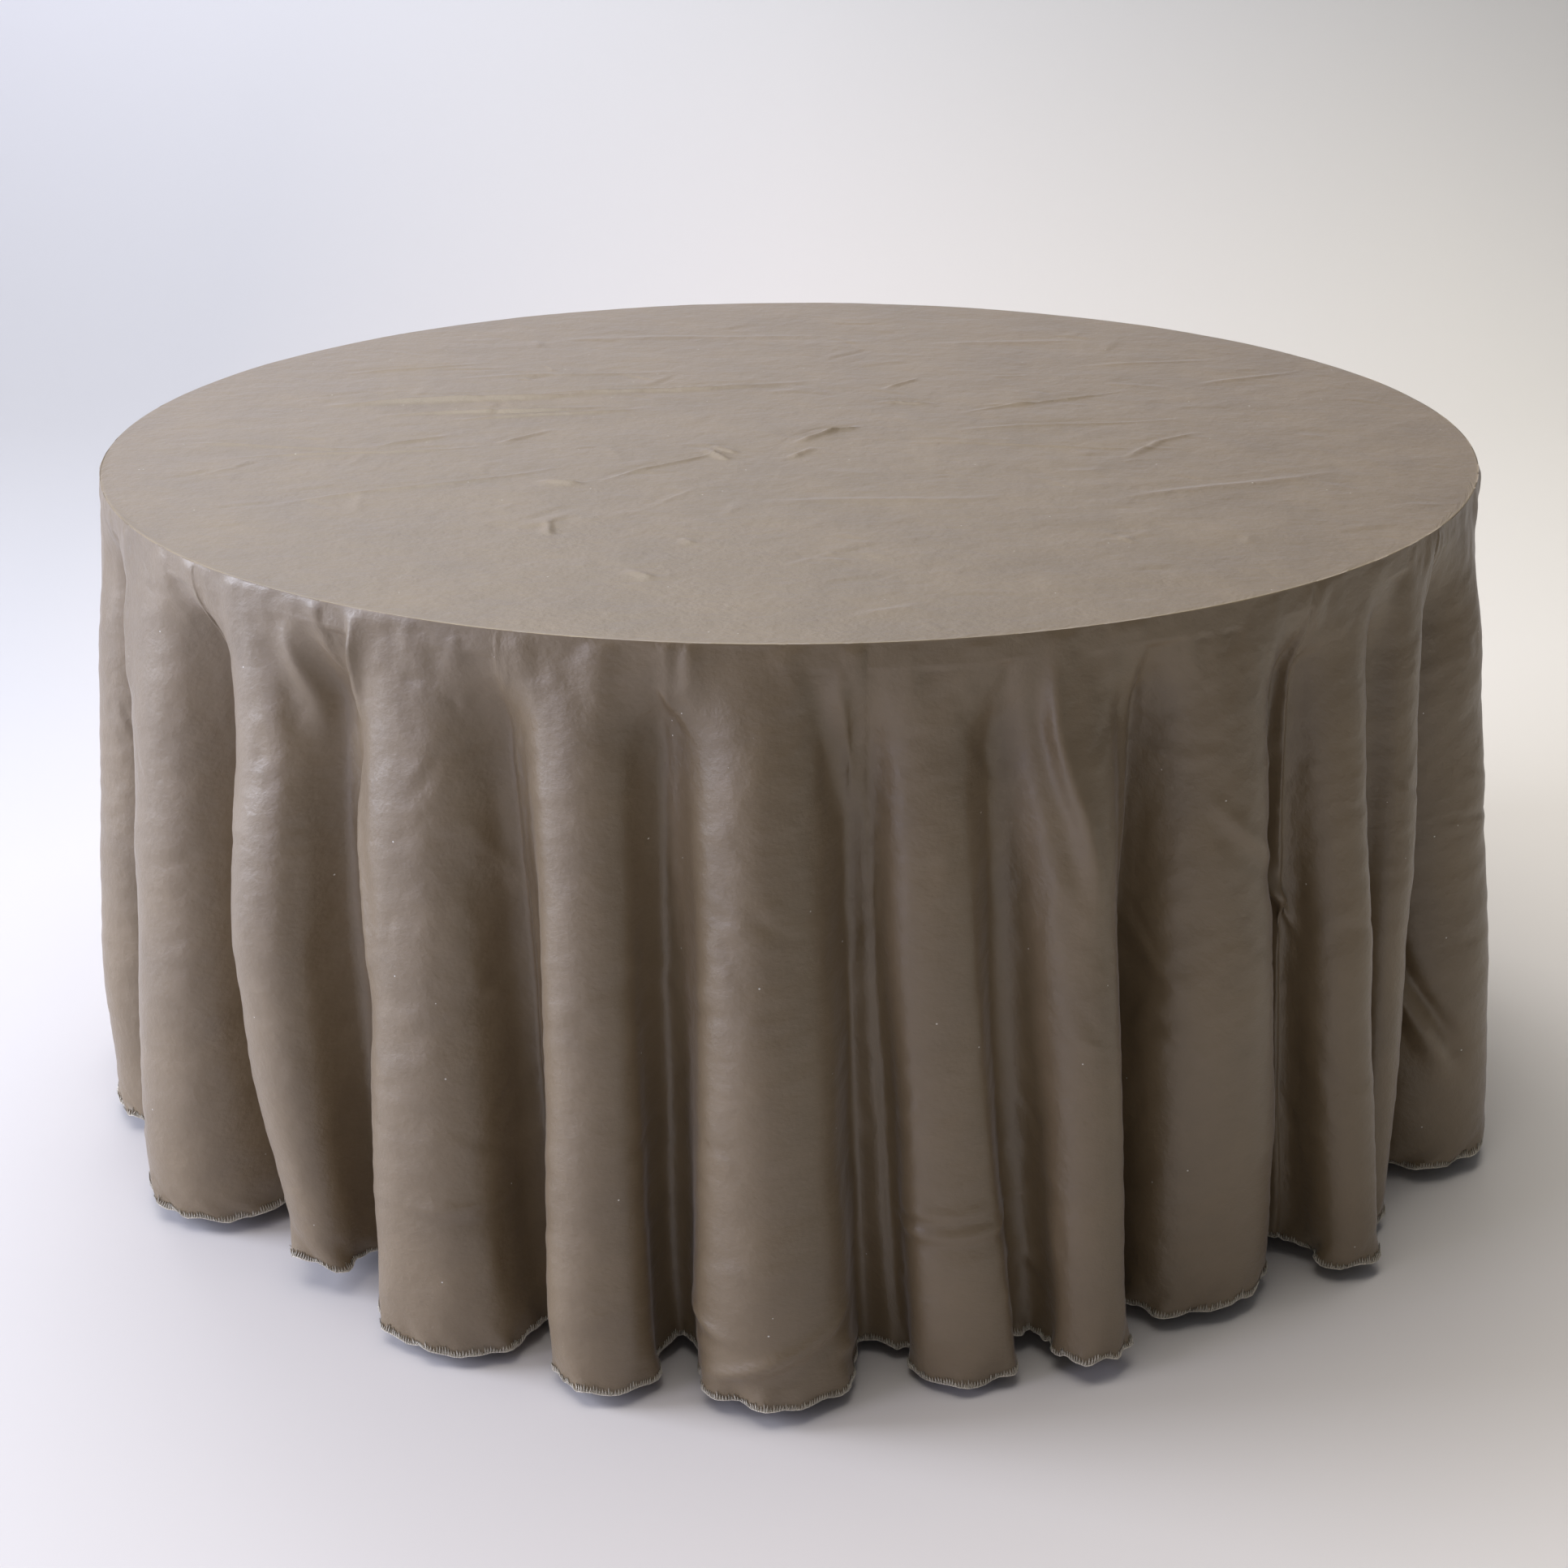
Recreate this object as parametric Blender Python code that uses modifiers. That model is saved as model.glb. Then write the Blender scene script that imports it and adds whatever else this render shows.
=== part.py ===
"""Round satin tablecloth over a round folding table with two folding leg frames and knee braces.

Metres, +Z up. The origin is on the floor under the table's centre, and the front is -Y.
"""

import math

import bmesh
import bpy

# Table top
TOP_DIAMETER = 1.524
TOP_HEIGHT = 0.762
PANEL_THICKNESS = 0.019
BAND_THICKNESS = 0.0022
BAND_CHAMFER = 0.002
TOUCH_GAP = 0.0003  # between pieces that rest on or against each other
RUNNING_GAP = 0.0003  # round a pin or tube that turns

# Tablecloth
CLOTH_THICKNESS = 0.0012
CLOTH_GAP = 0.001  # air between the cloth and the table
HEM_CLEARANCE = 0.012  # the hem above the floor
HEM_HEIGHT = 0.005
HEM_THICKNESS = 0.0022
FOLD_VALLEY = 0.003  # the skirt between two folds, beyond the table's edge
# Each fold: its direction in degrees from the front towards +X, and its reach beyond the edge at the hem.
FOLDS = (
    (-80, 0.050), (-69, 0.040), (-58.5, 0.055), (-42, 0.050), (-27, 0.045), (-13.8, 0.056), (0, 0.083),
    (20, 0.067), (35, 0.058), (47, 0.053), (57, 0.045), (70, 0.075), (84, 0.060), (98, 0.055), (112, 0.065),
    (127, 0.050), (142, 0.065), (157, 0.058), (172, 0.080), (187, 0.082), (202, 0.060), (217, 0.066),
    (232, 0.052), (247, 0.064), (263, 0.070),
)

# Leg frames. The left one is the wider, so that the right one folds inside it.
LEG_TUBE_RADIUS = 0.0127
LEG_TUBE_WALL = 0.0012
STRETCHER_RADIUS = 0.0095
PIVOT_SETBACK = 0.262  # from the table's edge in to the pivot tube
LEG_SPLAY = math.radians(2.5)
STRETCHER_DROP = 0.26  # down the leg from the pivot tube
FOOT_RIM = 0.0022
FOOT_SLEEVE = 0.024
FOOT_FLOOR = 0.005
FRAMES = {
    "left": {"side": -1, "half_width": 0.345, "pivot_air": 0.0032},
    "right": {"side": 1, "half_width": 0.300, "pivot_air": 0.0012},
}  # pivot_air is between the pivot tube and the brackets' plates

# Brackets and their screws
BRACKET_THICKNESS = 0.0025
EAR_THICKNESS = 0.003
EAR_REACH = 0.008  # of a bracket's ear below its bore
EAR_OFFSET = 0.020  # from a leg's axis out to the bracket's ear
PIVOT_TUBE_END = 0.008  # of the pivot tube beyond the ear
PIVOT_PLATE = (0.064, 0.034)
CENTRE_PLATE = (0.060, 0.034)
SCREW_RADIUS = 0.0021
SCREW_LENGTH = 0.0145
SCREW_HEAD_RADIUS = 0.0045
SCREW_HEAD_HEIGHT = 0.0022
SCREW_SPACING = 0.040
SCREW_HOLE_GAP = 0.0004

# Knee braces: two flat links, side by side, riveted to a centre bracket and to a lug on the stretcher
LINK_HALF_WIDTH = 0.008
LINK_THICKNESS = 0.003
LINK_SPACING = 0.003  # between the two links' faces
LUG_HALF_WIDTH = 0.014
KNEE_STAGGER = 0.020  # between the two end rivets once folded
RIVET_RADIUS = 0.003
RIVET_HEAD_RADIUS = 0.0055
RIVET_HEAD_HEIGHT = 0.002
RIVET_TAIL_HEIGHT = 0.001

# How finely round pieces are turned
TOP_SIDES = 96
CLOTH_SIDES = 120
TUBE_SIDES = 20
SMALL_SIDES = 10
PLATE_ARC_SIDES = 10

TOP_RADIUS = TOP_DIAMETER / 2
PANEL_BOTTOM = TOP_HEIGHT - PANEL_THICKNESS
PANEL_RADIUS = TOP_RADIUS - BAND_THICKNESS - TOUCH_GAP
BRACKET_BOTTOM = PANEL_BOTTOM - TOUCH_GAP - BRACKET_THICKNESS
PIVOT_X = TOP_RADIUS - PIVOT_SETBACK
CENTRE_PIN_X = PIVOT_X - STRETCHER_DROP - KNEE_STAGGER
CLOTH_INNER_TOP = TOP_HEIGHT + TOUCH_GAP
CLOTH_INNER_RADIUS = TOP_RADIUS + CLOTH_GAP
CLOTH_EDGE_ROUND = BAND_CHAMFER + CLOTH_GAP  # how the cloth rounds the table's edge
CLOTH_BOTTOM = HEM_CLEARANCE + HEM_HEIGHT + TOUCH_GAP
LINK_CENTRE = (LINK_SPACING + LINK_THICKNESS) / 2  # of each link, from the brace's middle plane
LUG_CENTRE = LINK_CENTRE + LINK_THICKNESS / 2 + TOUCH_GAP + EAR_THICKNESS / 2
STRETCHER_OFFSET = LEG_TUBE_RADIUS + STRETCHER_RADIUS + TOUCH_GAP
PIVOT_DROP = LEG_TUBE_RADIUS + TOUCH_GAP + BRACKET_THICKNESS  # of a pivot tube below the panel, less its air
UPRIGHT = (math.pi / 2, 0, 0)  # turns a plate drawn in X and Y up into X and Z, and a turned piece along Y

MATERIALS = {
    "cloth": ((0.36, 0.30, 0.25), 0.45, 0.0),
    "thread": ((0.62, 0.58, 0.50), 0.8, 0.0),
    "plywood": ((0.55, 0.38, 0.22), 0.55, 0.0),
    "edge_band": ((0.62, 0.62, 0.63), 0.35, 1.0),
    "frame_steel": ((0.16, 0.16, 0.17), 0.45, 0.0),
    "zinc_steel": ((0.60, 0.60, 0.58), 0.4, 1.0),
    "foot_plastic": ((0.03, 0.03, 0.03), 0.6, 0.0),
}


def clear_scene():
    for obj in list(bpy.data.objects):
        bpy.data.objects.remove(obj, do_unlink=True)


def collection(name):
    made = bpy.data.collections.new(name)
    bpy.context.scene.collection.children.link(made)
    return made


def material(name):
    colour, roughness, metallic = MATERIALS[name]
    found = bpy.data.materials.get(name)
    if found:
        return found
    made = bpy.data.materials.new(name)
    made.use_nodes = True
    shader = made.node_tree.nodes["Principled BSDF"]
    shader.inputs["Base Color"].default_value = (*colour, 1)
    shader.inputs["Roughness"].default_value = roughness
    shader.inputs["Metallic"].default_value = metallic
    return made


def place(name, data, finish, location=(0, 0, 0), rotation=(0, 0, 0), parent=None):
    obj = bpy.data.objects.new(name, data)
    obj.location = location
    obj.rotation_euler = rotation
    obj.parent = parent
    if finish:
        data.materials.append(material(finish))
        parts.objects.link(obj)
        return obj
    obj.hide_render = True
    obj.display_type = "WIRE"
    cutters.objects.link(obj)
    return obj


def pivot(name, location, rotation=(0, 0, 0)):
    empty = bpy.data.objects.new(name, None)
    empty.location = location
    empty.rotation_euler = rotation
    parts.objects.link(empty)
    return empty


def turned(name, profile, sides, finish, closed=False, **where):
    """A profile of (radius, height) turned about the piece's own Z."""
    mesh = bpy.data.meshes.new(name)
    count = len(profile)
    edges = [(i, i + 1) for i in range(count - 1)]
    if closed:
        edges.append((count - 1, 0))
    mesh.from_pydata([(radius, 0, height) for radius, height in profile], edges, [])
    obj = place(name, mesh, finish, **where)
    screw = obj.modifiers.new("turn", "SCREW")
    screw.steps = sides
    screw.render_steps = sides
    screw.use_merge_vertices = True
    screw.merge_threshold = 0.00001
    screw.use_smooth_shade = True
    return obj


def pipe(name, radius, wall, low, high, finish, **where):
    ring = [(radius, high), (radius, low), (radius - wall, low), (radius - wall, high)]
    return turned(name, ring, TUBE_SIDES, finish, closed=True, **where)


def arc(centre, radius, start, end, sides):
    steps = [start + (end - start) * i / sides for i in range(sides + 1)]
    return [(centre[0] + radius * math.cos(a), centre[1] + radius * math.sin(a)) for a in steps]


def stadium(start_radius, end, end_radius):
    """An outline with a round end about the origin and another about the point `end`, on +X."""
    lean = math.asin((start_radius - end_radius) / end)
    quarter = math.pi / 2
    near = arc((0, 0), start_radius, quarter - lean, 3 * quarter + lean, PLATE_ARC_SIDES)
    far = arc((end, 0), end_radius, -quarter + lean, quarter - lean, PLATE_ARC_SIDES)
    return near + far


def hole(centre, radius):
    """A round hole that clears a pin of this radius."""
    clear = (radius + RUNNING_GAP) / math.cos(math.pi / TUBE_SIDES)
    return arc(centre, clear, 0, math.tau * (1 - 1 / TUBE_SIDES), TUBE_SIDES - 1)


def plate(name, loops, thickness, finish, **where):
    """A flat plate with its holes, as a filled outline extruded both ways."""
    curve = bpy.data.curves.new(name, "CURVE")
    curve.dimensions = "2D"
    curve.fill_mode = "BOTH"
    curve.extrude = thickness / 2
    for loop in loops:
        spline = curve.splines.new("POLY")
        spline.points.add(len(loop) - 1)
        spline.use_cyclic_u = True
        for point, (x, y) in zip(spline.points, loop):
            point.co = (x, y, 0, 1)
    return place(name, curve, finish, **where)


def to_mesh(obj):
    """The curve object's evaluated shape as a welded mesh object with the same name."""
    bpy.context.view_layer.update()
    evaluated = obj.evaluated_get(bpy.context.evaluated_depsgraph_get())
    mesh = bpy.data.meshes.new_from_object(evaluated)
    shape = bmesh.new()
    shape.from_mesh(mesh)
    bmesh.ops.remove_doubles(shape, verts=shape.verts, dist=0.00001)
    shape.to_mesh(mesh)
    shape.free()
    made = bpy.data.objects.new(obj.name, mesh)
    made.hide_render = obj.hide_render
    made.display_type = obj.display_type
    for group in obj.users_collection:
        group.objects.link(made)
    made.parent = obj.parent
    made.matrix_world = obj.matrix_world
    name = obj.name
    bpy.data.objects.remove(obj, do_unlink=True)
    made.name = name
    return made


def combine(obj, tool, operation):
    boolean = obj.modifiers.new(operation.lower(), "BOOLEAN")
    boolean.operation = operation
    boolean.solver = "EXACT"
    boolean.object = tool


def rectangle(width, depth, x=0, y=0):
    return [
        (x - width / 2, y - depth / 2),
        (x + width / 2, y - depth / 2),
        (x + width / 2, y + depth / 2),
        (x - width / 2, y + depth / 2),
    ]


def fold_reach(azimuth):
    """How far the skirt stands beyond the table's edge at the hem, in this direction."""
    crests = sorted(FOLDS)
    for index, (start, reach) in enumerate(crests):
        end, next_reach = crests[(index + 1) % len(crests)]
        span = (end - start) % 360
        along = (azimuth - start) % 360
        if along < span:
            share = along / span
            crest = reach + (next_reach - reach) * share
            swell = 0.5 + 0.5 * math.cos(math.tau * share)
            return FOLD_VALLEY + (crest - FOLD_VALLEY) * swell
    return FOLD_VALLEY


def drape(obj):
    """Replaces the turned shape by its mesh, with the folds of the skirt."""
    bpy.context.view_layer.update()
    evaluated = obj.evaluated_get(bpy.context.evaluated_depsgraph_get())
    mesh = bpy.data.meshes.new_from_object(evaluated)
    fall = CLOTH_INNER_TOP - HEM_CLEARANCE
    for vertex in mesh.vertices:
        x, y, z = vertex.co
        down = max(0, (CLOTH_INNER_TOP - CLOTH_EDGE_ROUND - z) / fall)
        reach = fold_reach(math.degrees(math.atan2(x, -y))) * down
        radius = math.hypot(x, y)
        if radius > 0:
            vertex.co.x += reach * x / radius
            vertex.co.y += reach * y / radius
    obj.modifiers.clear()
    obj.data = mesh


def build_cloth():
    lift = pivot("cloth_lift_axis", (0, 0, CLOTH_INNER_TOP))
    edge = CLOTH_INNER_RADIUS
    skirt_top = CLOTH_INNER_TOP - CLOTH_EDGE_ROUND
    rounded = arc((edge - CLOTH_EDGE_ROUND, skirt_top), CLOTH_EDGE_ROUND, math.pi / 2, 0, 2)
    rows = [(edge, skirt_top + (CLOTH_BOTTOM - skirt_top) * share) for share in (0.25, 0.5, 0.75, 1)]
    profile = [(0, CLOTH_INNER_TOP)] + rounded + rows
    cloth = turned("tablecloth", profile, CLOTH_SIDES, "cloth")
    drape(cloth)
    shell = cloth.modifiers.new("cloth_thickness", "SOLIDIFY")
    shell.thickness = CLOTH_THICKNESS
    shell.offset = 1
    shell.use_even_offset = True
    inner = edge - (HEM_THICKNESS - CLOTH_THICKNESS) / 2
    outer = inner + HEM_THICKNESS
    top = HEM_CLEARANCE + HEM_HEIGHT
    ring = [(outer, top), (outer, HEM_CLEARANCE), (inner, HEM_CLEARANCE), (inner, top)]
    thread = turned("hem_thread", ring, CLOTH_SIDES, "thread", closed=True)
    drape(thread)
    for obj in (cloth, thread):
        obj.parent = lift
        obj.location.z = -CLOTH_INNER_TOP


def build_top():
    panel_profile = [
        (0, TOP_HEIGHT),
        (PANEL_RADIUS, TOP_HEIGHT),
        (PANEL_RADIUS, PANEL_BOTTOM),
        (0, PANEL_BOTTOM),
    ]
    panel = turned("table_top_panel", panel_profile, TOP_SIDES, "plywood")
    inner = TOP_RADIUS - BAND_THICKNESS
    band_profile = [
        (inner, TOP_HEIGHT),
        (TOP_RADIUS - BAND_CHAMFER, TOP_HEIGHT),
        (TOP_RADIUS, TOP_HEIGHT - BAND_CHAMFER),
        (TOP_RADIUS, PANEL_BOTTOM + BAND_CHAMFER),
        (TOP_RADIUS - BAND_CHAMFER, PANEL_BOTTOM),
        (inner, PANEL_BOTTOM),
    ]
    turned("table_edge_band", band_profile, TOP_SIDES, "edge_band", closed=True)
    return panel


def add_screw(name, x, y, panel):
    """A pan-head screw up through a bracket's plate, and its pilot hole in the panel."""
    head = BRACKET_BOTTOM - TOUCH_GAP
    profile = [
        (0, SCREW_LENGTH),
        (SCREW_RADIUS * 0.5, SCREW_LENGTH),
        (SCREW_RADIUS, SCREW_LENGTH - SCREW_RADIUS),
        (SCREW_RADIUS, 0),
        (SCREW_HEAD_RADIUS, 0),
        (SCREW_HEAD_RADIUS * 0.7, -SCREW_HEAD_HEIGHT),
        (0, -SCREW_HEAD_HEIGHT),
    ]
    turned(name, profile, SMALL_SIDES, "zinc_steel", location=(x, y, head))
    clear = (SCREW_RADIUS + SCREW_HOLE_GAP) / math.cos(math.pi / SMALL_SIDES)
    tip = SCREW_LENGTH + SCREW_HOLE_GAP
    bore = [(0, tip), (clear, tip), (clear, -SCREW_HEAD_HEIGHT), (0, -SCREW_HEAD_HEIGHT)]
    tool = turned(name + "_pilot", bore, SMALL_SIDES, None, location=(x, y, head))
    combine(panel, tool, "DIFFERENCE")


def build_bracket(name, x, ear_y, away, axis_z, bore, plate_size, panel):
    """A screwed plate under the panel, with a bored ear hanging from the edge of it that faces the linkage.

    `away` is the direction along Y from the ear towards the plate and its screws.
    """
    width, depth = plate_size
    middle_y = ear_y + away * (depth / 2 - EAR_THICKNESS / 2)
    screw_y = away * EAR_THICKNESS / 2
    spots = [(side * SCREW_SPACING / 2, screw_y) for side in (-1, 1)]
    holes = [hole(spot, SCREW_RADIUS + SCREW_HOLE_GAP) for spot in spots]
    base = plate(
        name,
        [rectangle(width, depth)] + holes,
        BRACKET_THICKNESS,
        "frame_steel",
        location=(x, middle_y, BRACKET_BOTTOM + BRACKET_THICKNESS / 2),
    )
    base = to_mesh(base)
    radius = bore + EAR_REACH
    rise = BRACKET_BOTTOM + BRACKET_THICKNESS / 2 - axis_z
    outline = arc((0, 0), radius, math.pi, math.tau, PLATE_ARC_SIDES) + [(radius, rise), (-radius, rise)]
    ear = plate(
        name + "_ear",
        [outline, hole((0, 0), bore)],
        EAR_THICKNESS,
        None,
        location=(x, ear_y, axis_z),
        rotation=UPRIGHT,
    )
    combine(base, to_mesh(ear), "UNION")
    for number, (screw_x, offset) in enumerate(spots, 1):
        add_screw(f"{name}_screw_{number}", x + screw_x, middle_y + offset, panel)


def build_leg_frame(label, side, half_width, pivot_air):
    axis_z = PANEL_BOTTOM - PIVOT_DROP - pivot_air
    fold = pivot(f"leg_{label}_fold_axis", (side * PIVOT_X, 0, axis_z), (0, -side * LEG_SPLAY, 0))
    length = axis_z / math.cos(LEG_SPLAY)
    ear_y = half_width + EAR_OFFSET
    reach = ear_y + EAR_THICKNESS / 2 + PIVOT_TUBE_END
    pipe(
        f"pivot_tube_{label}",
        LEG_TUBE_RADIUS,
        LEG_TUBE_WALL,
        -reach,
        reach,
        "frame_steel",
        rotation=UPRIGHT,
        parent=fold,
    )
    clear = (LEG_TUBE_RADIUS + TOUCH_GAP) / math.cos(math.pi / TUBE_SIDES)
    cope_bar = [(0, reach), (clear, reach), (clear, -reach), (0, -reach)]
    cope = turned(f"cope_cutter_{label}", cope_bar, TUBE_SIDES, None, rotation=UPRIGHT, parent=fold)
    ground = bpy.data.meshes.new("floor_cutter")
    block = bmesh.new()
    bmesh.ops.create_cube(block, size=1)
    block.to_mesh(ground)
    block.free()
    floor = place(f"floor_cutter_{label}", ground, None, location=(side * PIVOT_X, 0, -0.5))
    floor.scale = (2 * PIVOT_X, 4 * half_width, 1)
    for end, name in ((-1, "front"), (1, "back")):
        leg = pipe(
            f"leg_tube_{label}_{name}",
            LEG_TUBE_RADIUS,
            LEG_TUBE_WALL,
            -length + FOOT_FLOOR + TOUCH_GAP,
            0,
            "frame_steel",
            location=(0, end * half_width, 0),
            parent=fold,
        )
        combine(leg, cope, "DIFFERENCE")
        inner = LEG_TUBE_RADIUS + TOUCH_GAP
        outer = inner + FOOT_RIM
        profile = [
            (0, FOOT_FLOOR),
            (inner, FOOT_FLOOR),
            (inner, FOOT_SLEEVE),
            (outer, FOOT_SLEEVE),
            (outer, -FOOT_RIM),
            (0, -FOOT_RIM),
        ]
        foot = turned(
            f"foot_cap_{label}_{name}",
            profile,
            TUBE_SIDES,
            "foot_plastic",
            location=(0, end * half_width, -length),
            parent=fold,
        )
        combine(foot, floor, "DIFFERENCE")
    spread = half_width + LEG_TUBE_RADIUS
    stretcher_at = (side * STRETCHER_OFFSET, 0, -STRETCHER_DROP)
    pipe(
        f"stretcher_{label}",
        STRETCHER_RADIUS,
        LEG_TUBE_WALL,
        -spread,
        spread,
        "frame_steel",
        location=stretcher_at,
        rotation=UPRIGHT,
        parent=fold,
    )
    lug = stadium(LUG_HALF_WIDTH, STRETCHER_OFFSET, LINK_HALF_WIDTH)
    lug_holes = [hole((0, 0), STRETCHER_RADIUS), hole((STRETCHER_OFFSET, 0), RIVET_RADIUS)]
    plate(
        f"brace_lug_{label}",
        [lug] + lug_holes,
        EAR_THICKNESS,
        "frame_steel",
        location=(stretcher_at[0], LUG_CENTRE, stretcher_at[2]),
        rotation=(math.pi / 2, math.pi if side > 0 else 0, 0),
        parent=fold,
    )
    return fold


def rivet(name, link_side, through, location, parent=None):
    """A rivet along Y that starts just inside its link and heads over outside the pieces it goes through."""
    tail = LINK_CENTRE - LINK_THICKNESS / 2 - TOUCH_GAP - RIVET_TAIL_HEIGHT
    grip = RIVET_TAIL_HEIGHT + TOUCH_GAP + through + TOUCH_GAP
    profile = [
        (0, grip + RIVET_HEAD_HEIGHT),
        (RIVET_HEAD_RADIUS * 0.7, grip + RIVET_HEAD_HEIGHT),
        (RIVET_HEAD_RADIUS, grip),
        (RIVET_RADIUS, grip),
        (RIVET_RADIUS, RIVET_TAIL_HEIGHT),
        (RIVET_HEAD_RADIUS, RIVET_TAIL_HEIGHT),
        (RIVET_HEAD_RADIUS, 0),
        (0, 0),
    ]
    turn = (-link_side * math.pi / 2, 0, 0)
    x, z = location
    where = {"location": (x, link_side * tail, z), "rotation": turn, "parent": parent}
    turned(name, profile, SMALL_SIDES, "zinc_steel", **where)


def link(name, link_side, start, angle, length):
    """A flat link in the XZ plane, its first eye at `start`, running at `angle` above +X."""
    outline = stadium(LINK_HALF_WIDTH, length, LINK_HALF_WIDTH)
    eyes = [hole((0, 0), RIVET_RADIUS), hole((length, 0), RIVET_RADIUS)]
    return plate(
        name,
        [outline] + eyes,
        LINK_THICKNESS,
        "zinc_steel",
        location=(start[0], link_side * LINK_CENTRE, start[1]),
        rotation=(math.pi / 2, -angle, 0),
    )


def build_brace(label, side, pivot_air, fold, panel):
    """The upper link, from the centre bracket to the knee, and the lower one, from there to the stretcher's lug.

    The links are in line when the leg frame is open. Folded, they lie back on each other under the panel.
    """
    axis_z = PANEL_BOTTOM - PIVOT_DROP - pivot_air
    centre = (side * CENTRE_PIN_X, axis_z)
    lug = (
        side * (PIVOT_X + STRETCHER_DROP * math.sin(LEG_SPLAY)),
        axis_z - STRETCHER_DROP * math.cos(LEG_SPLAY),
    )
    run = math.hypot(lug[0] - centre[0], lug[1] - centre[1])
    slope = math.atan2(lug[1] - centre[1], lug[0] - centre[0])
    upper_length = (run + KNEE_STAGGER) / 2
    lower_length = (run - KNEE_STAGGER) / 2
    name = f"centre_bracket_{label}"
    build_bracket(name, centre[0], -LUG_CENTRE, -1, axis_z, RIVET_RADIUS, CENTRE_PLATE, panel)
    rivet(f"centre_rivet_{label}", -1, LINK_THICKNESS + TOUCH_GAP + EAR_THICKNESS, centre)
    link(f"brace_upper_link_{label}", -1, centre, slope, upper_length)
    link(f"brace_lower_link_{label}", 1, lug, slope + math.pi, lower_length)
    rivet(
        f"lug_rivet_{label}",
        1,
        LINK_THICKNESS + TOUCH_GAP + EAR_THICKNESS,
        (0, -STRETCHER_DROP),
        parent=fold,
    )
    knee = (centre[0] + upper_length * math.cos(slope), centre[1] + upper_length * math.sin(slope))
    rivet(f"knee_rivet_{label}", 1, LINK_THICKNESS, knee)


clear_scene()
parts = collection("tablecloth_on_table")
cutters = collection("cutters")
build_cloth()
top_panel = build_top()
for frame_label, frame in FRAMES.items():
    fold_axis = build_leg_frame(frame_label, **frame)
    for end_sign, end_name in ((-1, "front"), (1, "back")):
        build_bracket(
            f"pivot_bracket_{frame_label}_{end_name}",
            frame["side"] * PIVOT_X,
            end_sign * (frame["half_width"] + EAR_OFFSET),
            end_sign,
            PANEL_BOTTOM - PIVOT_DROP - frame["pivot_air"],
            LEG_TUBE_RADIUS,
            PIVOT_PLATE,
            top_panel,
        )
    build_brace(frame_label, frame["side"], frame["pivot_air"], fold_axis, top_panel)
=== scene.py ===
import math

import bpy
import numpy as np
from mathutils import Matrix, Vector


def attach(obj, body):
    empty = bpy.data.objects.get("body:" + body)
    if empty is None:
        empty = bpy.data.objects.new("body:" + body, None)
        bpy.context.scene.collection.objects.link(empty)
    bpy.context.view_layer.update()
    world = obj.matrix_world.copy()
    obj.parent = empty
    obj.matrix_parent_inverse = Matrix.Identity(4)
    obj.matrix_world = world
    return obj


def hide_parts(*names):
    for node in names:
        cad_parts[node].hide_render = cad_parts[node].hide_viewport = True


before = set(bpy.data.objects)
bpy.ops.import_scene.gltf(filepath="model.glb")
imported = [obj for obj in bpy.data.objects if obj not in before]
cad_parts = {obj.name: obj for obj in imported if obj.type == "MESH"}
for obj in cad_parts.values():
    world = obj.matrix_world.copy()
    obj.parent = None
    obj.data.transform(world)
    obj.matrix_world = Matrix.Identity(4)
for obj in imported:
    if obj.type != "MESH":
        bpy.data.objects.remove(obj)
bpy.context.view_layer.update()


def say(stage):
    print("scene:", stage, flush=True)


def newMesh(name, verts, faces):
    # faces is a list, or a pair of arrays with the triangles and the quads
    mesh = bpy.data.meshes.new(name)
    if isinstance(faces, tuple):
        tris, quads = faces
        mesh.vertices.add(len(verts))
        mesh.vertices.foreach_set("co", np.asarray(verts, np.float32).ravel())
        corners = np.concatenate([tris.ravel(), quads.ravel()]).astype(np.int32)
        starts = np.concatenate([np.arange(len(tris)) * 3, len(tris) * 3 + np.arange(len(quads)) * 4])
        mesh.loops.add(len(corners))
        mesh.loops.foreach_set("vertex_index", corners)
        mesh.polygons.add(len(starts))
        mesh.polygons.foreach_set("loop_start", starts.astype(np.int32))
        mesh.update(calc_edges=True)
    else:
        mesh.from_pydata([tuple(map(float, v)) for v in verts], [], faces)
    mesh.validate()
    mesh.shade_smooth()
    obj = bpy.data.objects.new(name, mesh)
    bpy.context.scene.collection.objects.link(obj)
    return obj


class Nodes:
    # short hand for one material and its nodes
    def __init__(self, name):
        self.mat = bpy.data.materials.new(name)
        self.mat.use_nodes = True
        self.tree = self.mat.node_tree
        self.shader = self.tree.nodes["Principled BSDF"]

    def add(self, kind, **values):
        node = self.tree.nodes.new("ShaderNode" + kind)
        for key, value in values.items():
            if hasattr(node, key) and key not in node.inputs:
                setattr(node, key, value)
            else:
                node.inputs[key.replace("_", " ")].default_value = value
        return node

    def link(self, start, end):
        self.tree.links.new(start, end)

    def set(self, **values):
        for key, value in values.items():
            self.shader.inputs[key.replace("_", " ")].default_value = value


def ramp(nodes, source, stops):
    node = nodes.add("ValToRGB")
    elements = node.color_ramp.elements
    while len(elements) < len(stops):
        elements.new(0.5)
    for element, (place, colour) in zip(elements, stops):
        element.position = place
        element.color = (*colour, 1)
    nodes.link(source, node.inputs["Fac"])
    return node


cameraView = {
    "place": (0.0, -3.241, 1.565),
    "pitch": 20.67,
    "yaw": -0.131,
    "roll": -0.293,
    "lens": 67.08,
    "sensor": 36.0,
}


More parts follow.
